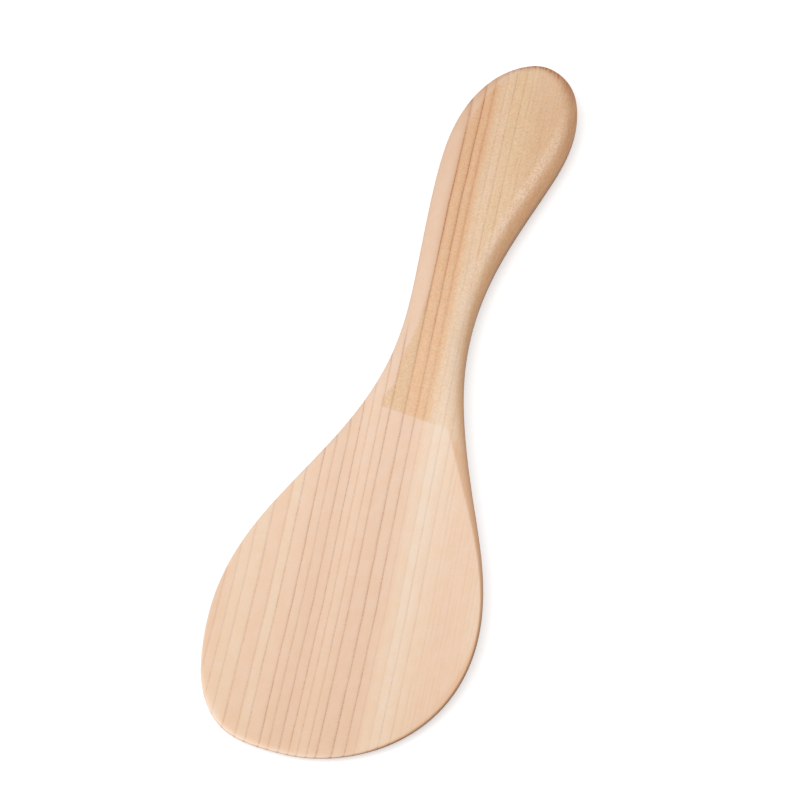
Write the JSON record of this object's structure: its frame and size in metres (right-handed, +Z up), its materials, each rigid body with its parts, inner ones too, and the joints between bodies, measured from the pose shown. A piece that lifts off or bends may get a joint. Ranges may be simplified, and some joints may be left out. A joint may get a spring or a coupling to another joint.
{
  "type": "rice paddle",
  "caption": "Flat wooden rice paddle with a broad rounded blade, thinned towards its tip, and a waisted handle that swells to a rounded butt.",
  "frame": {"origin": "middle of the paddle's footprint, on the flat back that it rests on", "axes": "+Y runs along the paddle from the blade's tip to the handle's butt, +X is to the right seen from above with the handle pointing away, +Z is up out of the blade's face"},
  "size_m": [0.066, 0.24, 0.009],
  "materials": {
    "wood": "bare sanded softwood, matt"
  },
  "bodies": {
    "root": {"paddle": "wood"}
  },
  "joints": []
}
